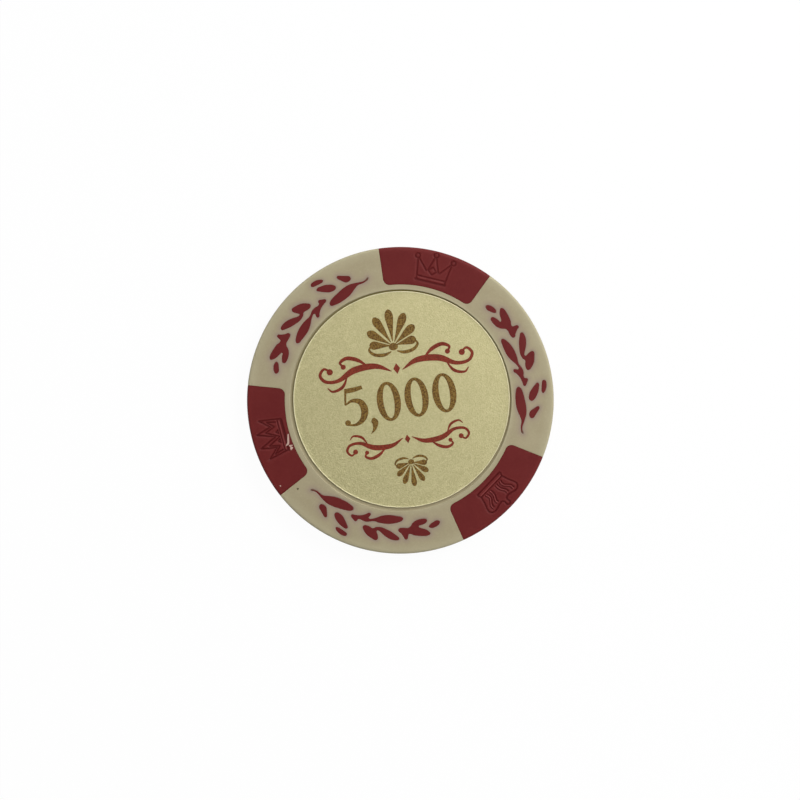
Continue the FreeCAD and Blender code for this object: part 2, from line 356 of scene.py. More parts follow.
# A round stroke: points on a circle about a place
def ring(x, y, radius, count=17):
    return np.array([x, y]) + polar(radius, np.linspace(0, fullTurn, count))


# A stroke turned over left to right about an upright line: twice the line's place less the point's
def mirrored(stroke, middle):
    return stroke * [-1, 1] + [2 * middle, 0]


ballCrown = [
    ring(-2.3, 18.85, 0.3), ring(0.05, 19.4, 0.3), ring(2.45, 18.9, 0.3),
    line((-2.2, 18.5), (-1.78, 15.95)), line((2.3, 18.55), (1.95, 16.1)),
    line((-2.05, 18.58), (-0.78, 17.2)), line((-0.6, 17.3), (-0.05, 19.05)),
    line((0.15, 19.05), (0.8, 17.25)), line((1.0, 17.2), (2.2, 18.6)),
    line((-0.55, 17.3), (0.0, 16.8), (0.55, 17.25), (0.0, 17.8), (-0.55, 17.3)),
    line((-1.7, 16.34), (1.85, 16.34)),
    line((-1.75, 15.95), (-1.95, 15.9), (-1.9, 15.78), (2.05, 15.8), (1.98, 16.05)),
    line((-1.8, 15.86), (1.95, 15.88)),
]
ballCrownBars = [line((-1.6, 16.16), (-0.6, 16.17)), line((0.1, 16.18), (1.7, 16.19))]
spikedCrown = [
    line((-2.1, 15.95), (-2.6, 18.5), (-1.4, 17.2), (-1.0, 19.25), (0.0, 17.0), (0.85, 19.25),
         (1.4, 17.3), (2.55, 18.5), (2.1, 15.8)),
    line((-1.85, 16.5), (-2.15, 17.6), (-1.3, 16.75), (-0.95, 18.1), (-0.1, 16.45), (0.8, 18.1),
         (1.3, 16.8), (2.1, 17.6), (1.85, 16.5)),
    line((-0.88, 16.5), (-0.65, 16.8), (-0.42, 16.5), (-0.65, 16.55)),
    line((0.32, 16.45), (0.55, 16.75), (0.78, 16.45), (0.55, 16.5)),
    line((-2.0, 16.25), (2.0, 16.2)), line((-2.15, 15.8), (2.15, 15.72)), line((-2.1, 15.87), (2.1, 15.79)),
    line((-1.4, 15.68), (2.0, 15.62)),
]
spikedCrownBars = [line((-1.9, 16.06), (1.9, 16.0))]
archSteps = 6
archMiddle, ribMiddle, besideRib = -0.04, -0.03, 0.16
archedSide = curveThrough([(1.9, 16.3), (2.15, 17.2), (2.5, 18.1), (2.5, 18.55), (2.1, 18.87), (1.6, 18.87),
                           (0.9, 18.67), (0.4, 18.68), (0.2, 18.95), (0.24, 19.33), (0.12, 19.54),
                           (-0.04, 19.58)], archSteps)
ribs = [
    curveThrough([(1.8, 18.4), (1.75, 18.0), (1.25, 17.4), (1.15, 17.0), (1.25, 16.65)], archSteps),
    curveThrough([(0.9, 18.3), (0.9, 18.0), (0.58, 17.4), (0.5, 17.0), (0.52, 16.65)], archSteps),
]
ribGrooves = [rib + [side * besideRib, 0] for rib in ribs for side in (-1, 1)]
archedCrown = [
    archedSide, mirrored(archedSide, archMiddle), line((-1.95, 16.33), (1.9, 16.33)),
    line((-1.95, 16.3), (-2.15, 15.95), (-2.1, 15.78), (1.98, 15.78), (2.05, 15.95), (1.9, 16.3)),
    *ribGrooves, *[mirrored(groove, ribMiddle) for groove in ribGrooves],
]
archedCrownBars = [*ribs, *[mirrored(rib, ribMiddle) for rib in ribs], line((-1.85, 16.17), (1.8, 16.17))]


# A crown's strokes, turned so that up is outwards on its spot: x times its right, plus y times outwards
def placeCrown(crown, middleAngle):
    outward = polar(1.0, middleAngle)
    right = np.array([outward[1], -outward[0]])
    return [stroke[:, :1] * right + stroke[:, 1:] * outward for stroke in crown]


crownStrokes = [stroke for crown, angle in zip((ballCrown, spikedCrown, archedCrown), spotAngles)
                for stroke in placeCrown(crown, angle)]
crownBars = [bar for bars, angle in zip((ballCrownBars, spikedCrownBars, archedCrownBars), spotAngles)
             for bar in placeCrown(bars, angle)]


# One net of triangles over closed outlines and loose points, where no point lies in the circle round a
# triangle unless an outline runs between. Each triangle gets the number of the last outline that it lies in.
def cutNet(outlines, loose=np.zeros((0, 2))):
    starts = np.cumsum([0] + [len(outline) for outline in outlines]).tolist()
    loops = [list(range(low, high)) for low, high in zip(starts[:-1], starts[1:])]
    points = [Vector(point) for point in np.vstack([*outlines, loose]).tolist()]
    net = delaunay_2d_cdt(points, [], loops, 0, cutting["netGrain"], True)
    owner = np.array([max(owners, default=-1) for owners in net[5]])
    return np.array([point[:] for point in net[0]]), np.array(net[2]), owner


# Loose points for a face: rows along each carved stroke, rows beside each seam and rings about the axis,
# every other one turned by half a step. Each keeps its own distance from the seams, and of points in one
# cell of a fine grid the first stays.
def scatterPoints():
    strokes = [evenSteps(stroke, cutting["seamGap"]) for stroke in crownStrokes + crownBars]
    carved = np.vstack([besideChain(stroke, carving["steps"]) for stroke in strokes])
    rows = [(seam, step) for step in cutting["seamSteps"] for seam in seamChains]
    beside = [besideChain(seam, [step]) for seam, step in rows]
    wanted = [np.full(2 * len(seam), cutting["besideShare"] * step) for seam, step in rows]
    reaches = np.concatenate([
        np.arange(lipRadius + cutting["ringGap"], flatRadius - cutting["ringGap"] / 2, cutting["ringGap"]),
        outerStations[ledgeCount - 1:-1],
    ])
    shift = (np.arange(len(reaches)) % 2 * halfTurn / cutting["ringAngles"])[:, None]
    rings = polar(reaches[:, None], ringTurns + shift).reshape(-1, 2)
    points = np.vstack([carved, *beside, rings])
    clearance = np.concatenate([
        np.full(len(carved), cutting["carvedShare"] * cutting["seamSteps"][0]), *wanted,
        np.full(len(rings), cutting["clearOfSeam"]),
    ])
    reach = np.linalg.norm(points, axis=1)
    onFace = (reach > lipRadius + cutting["clearOfLip"]) & (reach < outerStations[-2] + cutting["netGrain"])
    points = points[(nearest(points, seamChains) > clearance) & onFace]
    _, first = np.unique(np.round(points / cutting["mergeGrid"]).astype(int), axis=0, return_index=True)
    return points[np.sort(first)]


flat, triangles, region = cutNet([polar(middleReach, ringTurns), polar(lipRadius, ringTurns), *spotOutlines,
                                  *leafOutlines], scatterPoints())
ivoryRegion, firstSpotRegion = 0, 2  # the lip's circle is between, and holds no face
firstLeafRegion = firstSpotRegion + chip["spotCount"]
spotRegions = list(range(firstSpotRegion, firstLeafRegion))
leafRegions = list(range(firstLeafRegion, firstLeafRegion + len(leafOutlines)))
print("face net:", len(flat), "points,", len(triangles), "triangles")


# A bell curve: one over e to the square of the distance over the width
def bell(away, width):
    return np.exp(-(away / width) ** 2)


# A slow waviness from 0 to 1: a half, and half the mean of sines along some directions
def waviness(points):
    total = np.zeros(len(points))
    for turn, stretch in mouldMarks["waves"]:
        along = points @ polar(1.0, turn)
        phase = mouldMarks["wavePhase"] * turn
        total += np.sin(fullTurn * along / (mouldMarks["waveLength"] * stretch) + phase)
    return 0.5 + total / (2 * len(mouldMarks["waves"]))


# How far a face lies below its plain form: a notch that deepens with the square of its nearness to a seam,
# plus the waves on the flat, and on the rim a skin left out along the ridge where the mould's halves meet
def mouldInset(points, toSeam):
    reach = np.linalg.norm(points, axis=1)
    notch = mouldMarks["seamDepth"] * held(1 - toSeam / mouldMarks["seamWidth"]) ** 2
    waves = mouldMarks["waveHeight"] * waviness(points) * held((flatRadius - reach) / rimRound)
    onRim = held((reach - flatRadius) / (roundEnd - flatRadius))
    ridge = bell(middleReach - reach, mouldMarks["partingWidth"])
    return notch + waves + mouldMarks["partingHeight"] * (onRim - ridge)


# A crown's carving, its painted shade and its painted highlights: grooves along its strokes with raised
# lips beside them, and raised bars between, each a bell curve across, all in a shallow dish so that nothing
# stands above the face
def crownInset(points):
    toStroke, toBar = nearest(points, crownStrokes), nearest(points, crownBars)
    spotTurns = (np.arctan2(points[:, 1], points[:, 0]) - chip["firstSpot"]) * chip["spotCount"] / fullTurn
    spot = np.round(spotTurns).astype(int) % chip["spotCount"]
    groove = np.array(carving["grooveShares"])[spot] * bell(toStroke, carving["halfWidth"])
    lips = bell(toStroke - carving["lipPlace"], carving["lipWidth"])
    bars = np.array(carving["barShares"])[spot] * bell(toBar, carving["barWidth"])
    dish = carving["dish"] * held(1 - np.minimum(toStroke, toBar) / carving["dishWidth"]) ** 2
    raised = np.maximum(carving["lipHeight"] * lips, carving["barHeight"] * bars)
    shade = held(groove - bars) ** carving["shadeCurve"]
    paintedHighlight = np.maximum(carving["barHighlight"] * bars, carving["grooveLipHighlight"] * lips)
    return dish + carving["depth"] * groove - raised, shade, paintedHighlight


toSeam = nearest(flat, seamChains)
toSeam[toSeam < cutting["onSeam"]] = 0
carved, carvedShade, carvedHighlights = crownInset(flat)
inset = mouldInset(flat, toSeam) + carved
seamShade = held(1 - toSeam / mouldMarks["shadeWidth"])


# Flat points, all at one height
def level(points, height):
    return np.column_stack([points, np.full(len(points), height)])


# A wall's top edge: a seam wrapped onto the face, as deep as its notch
def wrapSeam(seam):
    return wrapRim(seam, mouldInset(seam, np.zeros(len(seam))))


# A part is its points, its triangles, and each point's shade and tint. This one is a grid's: it faces the way
# of rows cross columns, and where it is closed its last column joins its first.
def gridPart(grid, closed=False):
    rows, columns = grid.shape[:2]
    plain = np.zeros(rows * columns)
    index = np.arange(rows * columns).reshape(rows, columns)
    if closed:
        index = np.hstack([index, index[:, :1]])
    a, b, c, d = index[:-1, :-1], index[1:, :-1], index[1:, 1:], index[:-1, 1:]
    faces = np.vstack([np.stack([a, b, c], -1).reshape(-1, 3), np.stack([a, c, d], -1).reshape(-1, 3)])
    return grid.reshape(-1, 3), faces, plain, plain


# Two edges joined straight across
def wall(top, bottom, closed=False):
    return gridPart(np.stack([top, bottom]), closed)


# A part turned inside out: its triangles run the other way
def flip(part):
    return (part[0], part[1][:, ::-1], *part[2:])


# A profile of radii and heights carried round the axis
def revolve(profile, turns=ringTurns):
    profile = np.array(profile, float)
    circles = polar(profile[:, :1], turns)
    heights = np.broadcast_to(profile[:, 1:, None], (len(profile), len(turns), 1))
    return gridPart(np.concatenate([circles, heights], axis=2), closed=True)


# A quarter round in a profile's corner: off the corner across by one less the sine and up by one less the
# cosine, times its size each way. Where it starts upright, the sine and cosine change places.
def quarterRound(radius, height, across, up, count, startsLevel):
    turns = np.linspace(0, quarterTurn, count)
    sine, cosine = (np.sin(turns), np.cos(turns)) if startsLevel else (np.cos(turns), np.sin(turns))
    return zip(radius + across * (1 - sine), height + up * (1 - cosine))


# The part of a net that lies in some regions, with only the points that it uses
def netPart(points, faces, shade, tint):
    used, renumbered = np.unique(faces, return_inverse=True)
    return points[used], renumbered.reshape(-1, 3), shade[used], tint[used]


# Some regions of the face's net, wrapped over the rim and let in
def facePart(regions, shade, tint):
    return netPart(wrapRim(flat, inset), triangles[np.isin(region, regions)], shade, tint)


# Parts turned over onto the back
def turned(parts):
    return [(turnOver(part[0]), *part[1:]) for part in parts]


# Parts on the front and the same on the back
def withBack(parts):
    return parts + turned(parts)


# Makes a piece in metres: joins its parts, welds them where they meet, and shades it smooth between its
# sharp edges
def makePiece(name, parts, material, slot, *nodes):
    points = np.vstack([part[0] for part in parts])
    starts = np.cumsum([0] + [len(part[0]) for part in parts])
    faces = np.vstack([part[1] + start for part, start in zip(parts, starts)])
    mesh = bpy.data.meshes.new(name)
    mesh.from_pydata(points * mm, [], faces)
    for place, label in ((2, "shade"), (3, "tint")):
        values = np.concatenate([part[place] for part in parts]).astype(np.float32)
        mesh.attributes.new(label, "FLOAT", "POINT").data.foreach_set("value", values)
    shape = bmesh.new()
    shape.from_mesh(mesh)
    bmesh.ops.remove_doubles(shape, verts=shape.verts, dist=cutting["weldGap"] * mm)
    openEdges = sum(not edge.is_manifold for edge in shape.edges)
    volume = shape.calc_volume(signed=True) / mm ** 3
    shape.to_mesh(mesh)
    shape.free()
    mesh.polygons.foreach_set("use_smooth", np.ones(len(mesh.polygons), bool))
    mesh.set_sharp_from_angle(angle=cutting["sharpBend"])
    mesh.materials.append(material)
    piece = bpy.data.objects.new(name, mesh)
    bpy.context.scene.collection.objects.link(piece)
    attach(piece, "root")
    if nodes:
        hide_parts(*nodes)
    print(f"{name}: {len(mesh.polygons)} faces, {openEdges} open edges, {volume:.2f} mm3")


# Adds a node, sets what its inputs say and joins those that are another node's output
def addNode(tree, kind, inputs=None, **settings):
    node = tree.nodes.new("ShaderNode" + kind)
    for key, value in settings.items():
        setattr(node, key, value)
    for key, value in (inputs or {}).items():
        if isinstance(value, bpy.types.NodeSocket):
            tree.links.new(value, node.inputs[key])
        else:
            node.inputs[key].default_value = value
    return node


# A new material with its tree, its shader and the piece's own coordinates
def newMaterial(name):
    material = bpy.data.materials.new(name)
    material.use_nodes = True
    tree = material.node_tree
    return material, tree, tree.nodes["Principled BSDF"], addNode(tree, "TexCoord").outputs["Object"]


# A colour as a screen shows it, 0 to 255, turned into the light it stands for
def colour(red, green, blue):
    shares = np.array([red, green, blue]) / 255
    light = np.where(shares <= 0.04045, shares / 12.92, ((shares + 0.055) / 1.055) ** 2.4)
    return (*light.tolist(), 1.0)


# The first colour where the factor is 0 and the second where it is 1, in proportion between
def mixColours(tree, factor, first, second):
    return addNode(tree, "Mix", {0: factor, 6: first, 7: second}, data_type="RGBA").outputs[2]


# Cloudy noise about a half, whose clouds have a size in millimetres
def noise(tree, coords, size, detail=2.0, roughness=0.5):
    return addNode(tree, "TexNoise", {"Vector": coords, "Scale": 1 / (size * mm), "Detail": detail,
                                      "Roughness": roughness}).outputs["Fac"]


# A number in one range carried over to another, held at the ends
def remap(tree, value, fromLow, fromHigh, toLow, toHigh):
    ends = {1: fromLow, 2: fromHigh, 3: toLow, 4: toHigh}
    return addNode(tree, "MapRange", {"Value": value, **ends}).outputs[0]


# The number that each point of the mesh carries under a name
def attribute(tree, name):
    return addNode(tree, "Attribute", attribute_name=name).outputs["Fac"]


# Gives a shader its colour and roughness, and a relief that follows a height, with a strength and a depth
def dressShader(tree, shader, base, roughness, height, relief):
    tree.links.new(base, shader.inputs["Base Color"])
    tree.links.new(roughness, shader.inputs["Roughness"])
    strength, depth = relief
    bump = addNode(tree, "Bump", {"Height": height, "Strength": strength, "Distance": depth * mm})
    tree.links.new(bump.outputs["Normal"], shader.inputs["Normal"])


ivoryFinish = {
    "colour": colour(157, 147, 119),
    "cloudColour": colour(153, 143, 115),
    "grainColour": colour(166, 156, 128),
    "tintColour": colour(138, 117, 112),
    # the colour of the painted highlight on the lip and rim
    "paintedHighlightColour": colour(176, 169, 140),
    # the colour of the painted shade in the seams, and of the dirt and painted shade in the recess
    "shadeColour": colour(82, 73, 20),
    "roughness": (0.46, 0.6),
}
redFinish = {
    "colour": colour(98, 32, 31),
    "cloudColour": colour(94, 29, 29),
    "grainColour": colour(105, 38, 37),
    "tintColour": colour(92, 80, 66),
    # the colour of the painted highlight towards the rim
    "paintedHighlightColour": colour(107, 38, 37),
    "shadeColour": colour(68, 8, 9),
    "roughness": (0.42, 0.56),
}
# The spots' tint above nought is a painted highlight on the carving's bars and lips, in this paler red
highlightedRedFinish = {**redFinish, "tintColour": colour(134, 66, 64)}
plasticGrain = {
    "cloudSize": 3.0,
    "cloudRange": (0.35, 0.65),
    "grain": (0.25, 3.0, 0.6),  # size, detail and roughness
    "grainRange": (0.45, 0.75),
    "grainShare": 0.5,
    "relief": (0.25, 0.01),  # strength and depth
    "gloss": 0.1,
}
noiseRange = (0.3, 0.7)  # most of a noise lies in it


# Moulded plastic: clouded and finely grained colour, and a tint and a shade that follow the mesh. A tint
# below nought leads to a paler colour, a painted highlight.
def mouldedPlastic(name, finish):
    material, tree, shader, coords = newMaterial(name)
    clouds = remap(tree, noise(tree, coords, plasticGrain["cloudSize"]), *plasticGrain["cloudRange"], 0, 1)
    grain = noise(tree, coords, *plasticGrain["grain"])
    plain = mixColours(tree, clouds, finish["colour"], finish["cloudColour"])
    grainShare = remap(tree, grain, *plasticGrain["grainRange"], 0, plasticGrain["grainShare"])
    grained = mixColours(tree, grainShare, plain, finish["grainColour"])
    highlighted = mixColours(tree, remap(tree, attribute(tree, "tint"), -1, 0, 1, 0), grained, finish["paintedHighlightColour"])
    tinted = mixColours(tree, attribute(tree, "tint"), highlighted, finish["tintColour"])
    shaded = mixColours(tree, attribute(tree, "shade"), tinted, finish["shadeColour"])
    roughness = remap(tree, grain, *noiseRange, *finish["roughness"])
    dressShader(tree, shader, shaded, roughness, grain, plasticGrain["relief"])
    shader.inputs["Specular IOR Level"].default_value = plasticGrain["gloss"]
    return material


ivoryPlastic = mouldedPlastic("ivory_moulded_plastic", ivoryFinish)
redPlastic = mouldedPlastic("red_moulded_plastic", redFinish)
highlightedRedPlastic = mouldedPlastic("red_plastic_painted_highlights", highlightedRedFinish)

# The web's face lies below the ivory's. Its net is cut by the same seams as the face's.
innerSeams = [seam[outerCount - 1:1 - outerCount] for seam in spotSeams]
innerOutlines = [closeSeam(seam, angle, chip["webRadius"]) for seam, angle in zip(innerSeams, spotAngles)]
webCircle, hubCircle = (polar(chip[edge], ringTurns) for edge in ("webRadius", "hubRadius"))
webFlat, webTriangles, webRegion = cutNet([webCircle, hubCircle, *innerOutlines, *leafOutlines])
plainWeb = np.zeros(len(webFlat))
webNet = netPart(level(webFlat, webTop), webTriangles[webRegion == 0], plainWeb, plainWeb)
leafWalls = [wall(wrapSeam(outline), level(outline, webTop), closed=True) for outline in leafOutlines]
betweenSpots = [polar(chip["webRadius"], turnsBetween(angle + chip["spotHalfAngle"],
                                                      angle + spotTurn - chip["spotHalfAngle"]))
                for angle in spotAngles]
webRims = [wall(level(edge, webTop), level(edge, middleHeight)) for edge in betweenSpots]
notchWalls = [wall(wrapSeam(seam), level(seam, webTop)) for seam in innerSeams]


# The ivory's end beside a spot, out beyond the web: a fan from the web's edge to the seam over the rim
def ringEnd(seam):
    top = wrapSeam(seam)
    foot = np.array([*seam[0], webTop])
    feet = np.vstack([np.repeat(foot[None], len(seam) - 1, axis=0), [[*seam[0], middleHeight]]])
    return wall(top, feet)


ringEnds = [ringEnd(seam[-outerCount:]) for seam in spotSeams]
ringEnds += [flip(ringEnd(seam[:outerCount][::-1])) for seam in spotSeams]

# The recess round the label: up from the web, out over its floor, up its wall and over a rounded lip
recess = {
    "fillet": 0.05,
    "filletCount": 3,
    "floorCount": 6,
    "lipCount": 6,
    # dirt and painted shade on the floor by the label's edge; the swing paints it darker towards the top
    "dirtAndShadeShare": 0.58,
    "shadeSwing": 0.3,
    "dirtAndShadeWidth": 0.36,
    "dirtAndShadeSlope": 1.6,
}
fillet, lipRound = recess["fillet"], mouldMarks["lipRound"]
floorRadii = np.linspace(chip["hubRadius"], chip["recessRadius"] - fillet, recess["floorCount"])[:-1]
recessProfile = [
    (chip["hubRadius"], webTop), *[(radius, chip["recessFloor"]) for radius in floorRadii],
    *quarterRound(chip["recessRadius"], chip["recessFloor"], -fillet, fillet, recess["filletCount"], True),
    *quarterRound(chip["recessRadius"], faceHeight, lipRound, -lipRound, recess["lipCount"], False),
]


# The recess, with dirt and painted shade, stronger the nearer to the label's edge and darker towards the top,
# and with a painted highlight on its lip, in full from half way up it
def makeRecess(node, back):
    points, faces, _, _ = revolve(recessProfile)
    middle, radius = labelCircle(node, back)
    away = np.linalg.norm(points[:, :2] - middle, axis=1) - radius
    onFloor = held(1 - (points[:, 2] - chip["recessFloor"]) / fillet)
    upward = points[:, 1] / np.linalg.norm(points[:, :2], axis=1)
    # dirt and painted shade, the painted shade darker towards the top
    dirt = recess["dirtAndShadeShare"] + recess["shadeSwing"] * upward
    shade = dirt * held(recess["dirtAndShadeSlope"] * (1 - away / recess["dirtAndShadeWidth"])) * onFloor
    # the lip takes a pale painted highlight, in full from half way up it
    tint = -mouldMarks["recessLipHighlight"] * held(2 + 2 * (points[:, 2] - faceHeight) / lipRound)
    return (turnOver(points) if back else points), faces, shade, tint


lipCircle = polar(lipRadius, ringTurns)
lastRing = level(polar(recessProfile[-1][0], ringTurns), faceHeight)
lip = wall(lastRing, wrapRim(lipCircle, mouldInset(lipCircle, np.ones(len(lipCircle)))), closed=True)
# The lip's wall takes the painted highlight in full
lip = (*lip[:3], np.full(len(lip[0]), -mouldMarks["recessLipHighlight"]))

# Beside the leaves the ivory is thin and takes some of their red, and at its lip and rim it is palest,
# which is a painted highlight
ivoryShading = {
    "leafFar": 1.5,
    "leafStains": ((0.42, 0.5), (0.25, 0.12)),  # share and width
    "rimHighlights": ((0.26, 18.6, 0.8), (0.44, 19.6, 0.25)),  # share, start and width
    "lipWidth": 0.5,
    "seamShare": 0.08,
}
reach = np.linalg.norm(flat, axis=1)
toLeaf = np.min([distanceTo(flat, closeLoop(outline), ivoryShading["leafFar"]) for outline in leafOutlines],
                axis=0)
ivoryTint = sum(share * bell(toLeaf, width) for share, width in ivoryShading["leafStains"])
# Painted highlights: paler towards the rim and beside the lip
ivoryTint -= sum(share * held((reach - start) / width) for share, start, width in ivoryShading["rimHighlights"])
nearLip = held((lipRadius + ivoryShading["lipWidth"] - reach) / ivoryShading["lipWidth"])
ivoryTint -= mouldMarks["recessLipHighlight"] * nearLip
ivoryFace = [
    facePart([ivoryRegion], ivoryShading["seamShare"] * seamShade, ivoryTint), lip, flip(webNet),
    *[flip(part) for part in leafWalls + notchWalls + webRims + ringEnds],
]
recesses = [makeRecess("front_label_foil", False), makeRecess("back_label_foil", True)]
makePiece("ivory_moulding", withBack(ivoryFace) + recesses, ivoryPlastic, "ivory", "body_moulding")

# The red web: its face between the spots, the leaves that stand on it, and the hub round the slug
web = {
    "slugRound": 0.3,
    "slugRoundCount": 7,
    "slugTurnStep": 4,
    "seamShare": 0.08,
    "tailTip": (16.5, math.radians(31.8)),  # reach, and angle back from half way between two spots
    "tailCover": 0.85,
    "tailWidth": 0.9,
}
slugLow, slugHigh = nodeBox("steel_slug")
slugRound = web["slugRound"]
slugProfile = [
    (0, slugHigh[2]),
    *quarterRound(slugHigh[0], slugHigh[2], -slugRound, -slugRound, web["slugRoundCount"], True),
    *quarterRound(slugHigh[0], slugLow[2], -slugRound, slugRound, web["slugRoundCount"], False),
    (0, slugLow[2]),
]
slugSeat = flip(revolve(slugProfile, ringTurns[::web["slugTurnStep"]]))
hubProfile = [(0, chip["recessFloor"]), (chip["hubRadius"], chip["recessFloor"]), (chip["hubRadius"], webTop)]
hub = revolve(hubProfile)
cutWalls = [flip(wall(level(seam, webTop), level(seam, middleHeight))) for seam in innerSeams]

# The ivory lies thinly over the tips of the sprigs' tails, in proportion to how near they are
tipReach, tipBack = web["tailTip"]
tailTips = [polar(tipReach, angle + spotTurn / 2 - tipBack) for angle in spotAngles]
toTip = np.min([np.linalg.norm(flat - tip, axis=1) for tip in tailTips], axis=0)
drownedTint = web["tailCover"] * held(1 - toTip / web["tailWidth"])
webFace = [
    facePart(leafRegions, web["seamShare"] * seamShade, drownedTint), webNet, hub,
    *leafWalls, *webRims, *cutWalls,
]
makePiece("red_web", withBack(webFace) + [slugSeat], redPlastic, "red", "core_moulding")

# The edge spots: painted shade in their grooves and seams, painted highlights on what stands up and towards
# the rim
spotShading = {"seamShare": 0.7, "grooveShare": 0.85, "rimHighlightShare": 0.7, "rimStart": 19.3, "rimWidth": 0.5}


# A spot's side, down to the chip's middle: straight down on the web, and out beyond it to the rim
def spotSide(seam):
    top = wrapSeam(seam)
    inner = level(seam[outerCount - 1:1 - outerCount], middleHeight)
    share = ((outerStations - outerStations[0]) / (outerStations[-1] - outerStations[0]))[:, None]
    leftFoot = inner[0] + share[:0:-1] * (top[0] - inner[0])
    rightFoot = inner[-1] + share[1:] * (top[-1] - inner[-1])
    return wall(top, np.vstack([leftFoot, inner, rightFoot]))


# Turned over, the first spot comes back to its own place, and the other two change places
spotShade = np.maximum(spotShading["seamShare"] * seamShade, spotShading["grooveShare"] * carvedShade)
nearRim = held((reach - spotShading["rimStart"]) / spotShading["rimWidth"])
# The spots' tint is all painted highlight: on the carving's raised parts, and paler towards the rim
spotHighlights = carvedHighlights - spotShading["rimHighlightShare"] * nearRim
spotParts = [[facePart([spotRegion], spotShade, spotHighlights), spotSide(seam)]
             for spotRegion, seam in zip(spotRegions, spotSeams)]
for number, (frontParts, backParts) in enumerate(zip(spotParts, spotParts[:1] + spotParts[:0:-1]), start=1):
    makePiece(f"red_spot_{number}", frontParts + turned(backParts), highlightedRedPlastic, "red", "core_moulding")

# Foil labels: a disc whose edge is rounded over by the die that cut it, and stands up a little
label = {
    "edgeRound": 0.03,
    "edgeLift": 0.014,
    "liftWidth": 0.2,
    "liftCurve": 1.5,
    "rings": 36,
    "edgeRings": 6,
    "roundRings": 5,
    "angles": 480,
    # a painted highlight along the edge: how far in from the edge it starts, and over how much it rises to
    # full
    "edgeHighlightReach": 0.15,
    "edgeHighlightRise": 0.075,
    "waveHeight": 0.004,
    "waveSqueeze": 1.7,
}
foilFinish = {
    "flakeSize": 0.13,
    "grainDetail": 1.0,
    "darkFlake": colour(180, 173, 126),
    "paleFlake": colour(196, 188, 143),
    # the colour of the painted highlight along the label's edge
    "edgeHighlightColour": colour(220, 212, 172),
    "roughness": (0.36, 0.5),
    "relief": (1.0, 0.018),  # strength and depth
    "metal": 0.7,
}


# Pearl foil: each flake has its own colour and roughness, over a fine relief. The tint paints a highlight.
def pearlFoil(name, finish):
    material, tree, shader, coords = newMaterial(name)
    fineness = 1 / (finish["flakeSize"] * mm)
    cells = addNode(tree, "TexVoronoi", {"Vector": coords, "Scale": fineness}).outputs["Color"]
    flake = addNode(tree, "SeparateColor", {"Color": cells}).outputs[0]
    grain = noise(tree, coords, finish["flakeSize"], finish["grainDetail"])
    pearl = mixColours(tree, flake, finish["darkFlake"], finish["paleFlake"])
    edgeHighlighted = mixColours(tree, attribute(tree, "tint"), pearl, finish["edgeHighlightColour"])
    roughness = remap(tree, flake, 0, 1, *finish["roughness"])
    dressShader(tree, shader, edgeHighlighted, roughness, grain, finish["relief"])
    shader.inputs["Metallic"].default_value = finish["metal"]
    return material


pearl = pearlFoil("pearl_foil", foilFinish)
labelTurns = evenTurns(label["angles"])


# The foil's level under a point of the face, in waves a few millimetres long
def foilLevel(points, top):
    return top - label["waveHeight"] * waviness(points * label["waveSqueeze"])


# One label: rings from its middle out to its lifted and rounded edge, then down, and in along its bottom
def makeFoil(name, node, back):
    middle, radius = labelCircle(node, back)
    low, high = nodeBox(node)
    bottomLevel, topLevel = (faceHeight - high[2], faceHeight - low[2]) if back else (low[2], high[2])
    bend = np.linspace(0, quarterTurn, label["roundRings"])[1:]
    innerRadius, flatEdge = radius - label["edgeRound"], radius - label["edgeRound"] - label["liftWidth"]
    inner = np.linspace(0, flatEdge, label["rings"])
    rising = np.linspace(flatEdge, innerRadius, label["edgeRings"])[1:]
    radii = np.concatenate([inner, rising, innerRadius + label["edgeRound"] * np.sin(bend)])
    lift = label["edgeLift"] * held((radii - flatEdge) / label["liftWidth"]) ** label["liftCurve"]
    lift[-len(bend):] -= label["edgeRound"] * (1 - np.cos(bend))
    circles = middle + polar(radii[:, None], labelTurns)
    tops = foilLevel(circles.reshape(-1, 2), topLevel).reshape(len(radii), -1) + lift[:, None]
    top = np.concatenate([circles, tops[..., None]], axis=2)
    bottom = np.concatenate([circles[-1:], np.full((1, len(labelTurns), 1), bottomLevel)], axis=2)
    centre = np.concatenate([np.broadcast_to(middle, bottom.shape[:2] + (2,)), bottom[..., 2:]], axis=2)
    points, faces, shade, _ = gridPart(np.concatenate([top, bottom, centre]), closed=True)
    away = np.linalg.norm(points[:, :2] - middle, axis=1)
    # The tint paints a highlight along the label's edge
    part = (points, faces, shade, held((away - radius + label["edgeHighlightReach"]) / label["edgeHighlightRise"]))
    makePiece(name, turned([part]) if back else [part], pearl, "foil", node)
    return middle, topLevel


frontMiddle, frontTop = makeFoil("front_foil", "front_label_foil", False)
backMiddle, backTop = makeFoil("back_foil", "back_label_foil", True)

